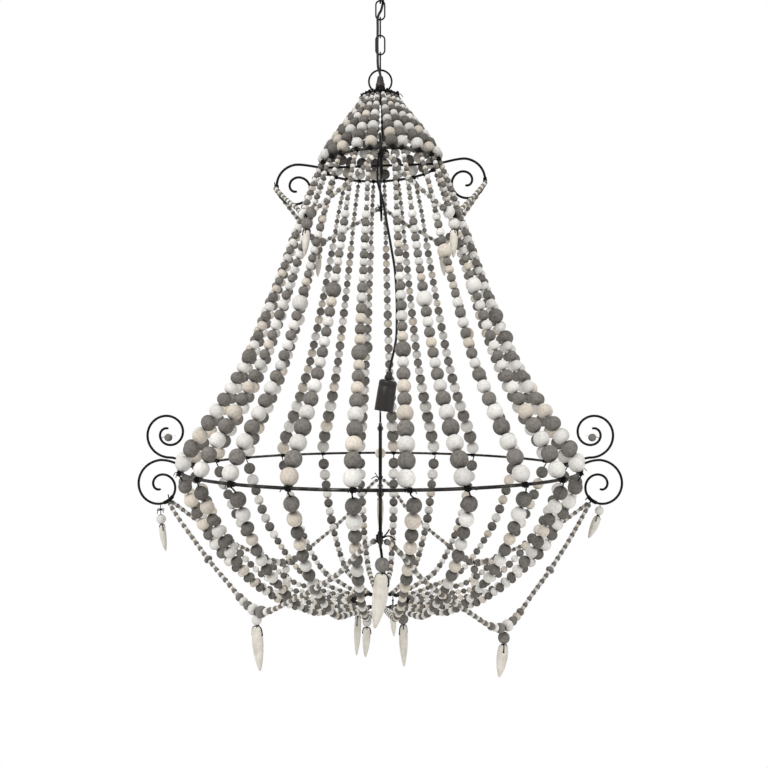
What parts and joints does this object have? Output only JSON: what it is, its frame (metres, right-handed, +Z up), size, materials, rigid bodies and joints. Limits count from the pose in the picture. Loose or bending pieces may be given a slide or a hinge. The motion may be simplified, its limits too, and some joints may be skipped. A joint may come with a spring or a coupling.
{
  "type": "beaded chandelier",
  "caption": "Basket chandelier of painted wooden bead strings over iron hoops with scrolled arms, festoons and tusk pendants, hung by a chain and ring, with one lamp holder inside.",
  "frame": {"origin": "centre of the ceiling rose's flat top face", "axes": "+Z up, -Y towards the front of the picture, +X to its right"},
  "size_m": [0.9294, 0.9294, 1.3218],
  "materials": {
    "iron": "rubbed dark grey, satin",
    "black_iron": "black, satin",
    "wood_beads": "matte chalk paint, alternately grey and off-white",
    "tusk": "matte pale ivory",
    "cord": "black, matte",
    "black_plastic": "brown-black, matte",
    "porcelain": "off-white, glazed"
  },
  "bodies": {
    "ceiling": {"ceiling_rose": "black_iron", "eye_bolt": "black_iron", "supply_cord": "cord"},
    "chain_link_1": {"chain_link_1": "black_iron"},
    "chain_link_2": {"chain_link_2": "black_iron"},
    "chain_link_3": {"chain_link_3": "black_iron"},
    "chain_link_4": {"chain_link_4": "black_iron"},
    "suspension_ring": {"suspension_ring": "black_iron"},
    "chandelier": {"crown_hoop": "black_iron", "cord_grip": "black_plastic", "lamp_cord_top": "cord", "upper_frame": "iron", "main_frame": "iron", "bottom_hoop": "iron", "bead_string_01": "wood_beads", "bead_string_02": "wood_beads", "bead_string_03": "wood_beads", "bead_string_04": "wood_beads", "bead_string_05": "wood_beads", "bead_string_06": "wood_beads", "bead_string_07": "wood_beads", "bead_string_08": "wood_beads", "bead_string_09": "wood_beads", "bead_string_10": "wood_beads", "bead_string_11": "wood_beads", "bead_string_12": "wood_beads", "bead_string_13": "wood_beads", "bead_string_14": "wood_beads", "bead_string_15": "wood_beads", "bead_string_16": "wood_beads", "bead_string_17": "wood_beads", "bead_string_18": "wood_beads", "bead_string_19": "wood_beads", "bead_string_20": "wood_beads", "bead_string_21": "wood_beads", "bead_string_22": "wood_beads", "bead_string_23": "wood_beads", "bead_string_24": "wood_beads", "upper_festoon": "wood_beads", "lower_festoon": "wood_beads"},
    "lamp": {"lamp_cord_drop": "cord", "lamp_holder_grip": "black_plastic", "lamp_holder_shell": "black_plastic", "lamp_holder_insert": "porcelain"},
    "scroll_pendant_right": {"scroll_pendant_right": "tusk"},
    "scroll_pendant_front": {"scroll_pendant_front": "tusk"},
    "scroll_pendant_left": {"scroll_pendant_left": "tusk"},
    "scroll_pendant_back": {"scroll_pendant_back": "tusk"},
    "upper_pendant_back_right": {"upper_pendant_back_right": "tusk"},
    "upper_pendant_back_left": {"upper_pendant_back_left": "tusk"},
    "upper_pendant_front_left": {"upper_pendant_front_left": "tusk"},
    "upper_pendant_front_right": {"upper_pendant_front_right": "tusk"},
    "lower_pendant_back_right": {"lower_pendant_back_right": "tusk"},
    "lower_pendant_back_left": {"lower_pendant_back_left": "tusk"},
    "lower_pendant_front_left": {"lower_pendant_front_left": "tusk"},
    "lower_pendant_front_right": {"lower_pendant_front_right": "tusk"},
    "bottom_pendant_back_right": {"bottom_pendant_back_right": "tusk"},
    "bottom_pendant_back_left": {"bottom_pendant_back_left": "tusk"},
    "bottom_pendant_front_left": {"bottom_pendant_front_left": "tusk"},
    "bottom_pendant_front_right": {"bottom_pendant_front_right": "tusk"}
  },
  "joints": [
    {"name": "link_1_swing", "type": "hinge", "parent": "ceiling", "child": "chain_link_1", "pos_m": [0, 0, -0.0592], "axis": [0, 1, 0], "range_deg": [-15, 15], "deforming": ["supply_cord"]},
    {"name": "link_2_swing", "type": "hinge", "parent": "chain_link_1", "child": "chain_link_2", "pos_m": [0, 0, -0.09225], "axis": [1, 0, 0], "range_deg": [-15, 15], "deforming": ["supply_cord"]},
    {"name": "link_3_swing", "type": "hinge", "parent": "chain_link_2", "child": "chain_link_3", "pos_m": [0, 0, -0.12555], "axis": [0, 1, 0], "range_deg": [-15, 15], "deforming": ["supply_cord"]},
    {"name": "link_4_swing", "type": "hinge", "parent": "chain_link_3", "child": "chain_link_4", "pos_m": [0, 0, -0.15885], "axis": [1, 0, 0], "range_deg": [-15, 15], "deforming": ["supply_cord"]},
    {"name": "ring_swing", "type": "hinge", "parent": "chain_link_4", "child": "suspension_ring", "pos_m": [0, 0, -0.19215], "axis": [0, 1, 0], "range_deg": [-15, 15], "deforming": ["supply_cord"]},
    {"name": "chandelier_swing", "type": "hinge", "parent": "suspension_ring", "child": "chandelier", "pos_m": [0, 0, -0.23215], "axis": [1, 0, 0], "range_deg": [-15, 15], "deforming": ["supply_cord"]},
    {"name": "lamp_swing", "type": "hinge", "parent": "chandelier", "child": "lamp", "pos_m": [-0.005, -0.005, -0.3753], "axis": [1, 0, 0], "range_deg": [-20, 20], "deforming": ["lamp_cord_drop"]},
    {"name": "scroll_pendant_right_swing", "type": "hinge", "parent": "chandelier", "child": "scroll_pendant_right", "pos_m": [0.4209, 0, -1.02015], "axis": [1, 0, 0], "range_deg": [-25, 25]},
    {"name": "scroll_pendant_front_swing", "type": "hinge", "parent": "chandelier", "child": "scroll_pendant_front", "pos_m": [0, -0.4209, -1.02015], "axis": [0, -1, 0], "range_deg": [-25, 25]},
    {"name": "scroll_pendant_left_swing", "type": "hinge", "parent": "chandelier", "child": "scroll_pendant_left", "pos_m": [-0.4209, 0, -1.02015], "axis": [-1, 0, 0], "range_deg": [-25, 25]},
    {"name": "scroll_pendant_back_swing", "type": "hinge", "parent": "chandelier", "child": "scroll_pendant_back", "pos_m": [0, 0.4209, -1.02015], "axis": [0, 1, 0], "range_deg": [-25, 25]},
    {"name": "upper_pendant_back_right_swing", "type": "hinge", "parent": "chandelier", "child": "upper_pendant_back_right", "pos_m": [0.12869, 0.12869, -0.49488], "axis": [0.7071, -0.7071, 0], "range_deg": [-15, 25]},
    {"name": "upper_pendant_back_left_swing", "type": "hinge", "parent": "chandelier", "child": "upper_pendant_back_left", "pos_m": [-0.12869, 0.12869, -0.49488], "axis": [0.7071, 0.7071, 0], "range_deg": [-15, 25]},
    {"name": "upper_pendant_front_left_swing", "type": "hinge", "parent": "chandelier", "child": "upper_pendant_front_left", "pos_m": [-0.12869, -0.12869, -0.49488], "axis": [-0.7071, 0.7071, 0], "range_deg": [-15, 25]},
    {"name": "upper_pendant_front_right_swing", "type": "hinge", "parent": "chandelier", "child": "upper_pendant_front_right", "pos_m": [0.12869, -0.12869, -0.49488], "axis": [-0.7071, -0.7071, 0], "range_deg": [-15, 25]},
    {"name": "lower_pendant_back_right_swing", "type": "hinge", "parent": "chandelier", "child": "lower_pendant_back_right", "pos_m": [0.20435, 0.20435, -1.17446], "axis": [0.7071, -0.7071, 0], "range_deg": [-15, 25]},
    {"name": "lower_pendant_back_left_swing", "type": "hinge", "parent": "chandelier", "child": "lower_pendant_back_left", "pos_m": [-0.20435, 0.20435, -1.17446], "axis": [0.7071, 0.7071, 0], "range_deg": [-15, 25]},
    {"name": "lower_pendant_front_left_swing", "type": "hinge", "parent": "chandelier", "child": "lower_pendant_front_left", "pos_m": [-0.20435, -0.20435, -1.16946], "axis": [-0.7071, 0.7071, 0], "range_deg": [-15, 25]},
    {"name": "lower_pendant_front_right_swing", "type": "hinge", "parent": "chandelier", "child": "lower_pendant_front_right", "pos_m": [0.20435, -0.20435, -1.19646], "axis": [-0.7071, -0.7071, 0], "range_deg": [-15, 25]},
    {"name": "bottom_pendant_back_right_swing", "type": "hinge", "parent": "chandelier", "child": "bottom_pendant_back_right", "pos_m": [0.02479, 0.04293, -1.20555], "axis": [0.866, -0.5, 0], "range_deg": [-15, 25]},
    {"name": "bottom_pendant_back_left_swing", "type": "hinge", "parent": "chandelier", "child": "bottom_pendant_back_left", "pos_m": [-0.04293, 0.02479, -1.20555], "axis": [0.5, 0.866, 0], "range_deg": [-15, 25]},
    {"name": "bottom_pendant_front_left_swing", "type": "hinge", "parent": "chandelier", "child": "bottom_pendant_front_left", "pos_m": [-0.02479, -0.04293, -1.20555], "axis": [-0.866, 0.5, 0], "range_deg": [-15, 25]},
    {"name": "bottom_pendant_front_right_swing", "type": "hinge", "parent": "chandelier", "child": "bottom_pendant_front_right", "pos_m": [0.04293, -0.02479, -1.20555], "axis": [-0.5, -0.866, 0], "range_deg": [-15, 25]}
  ]
}
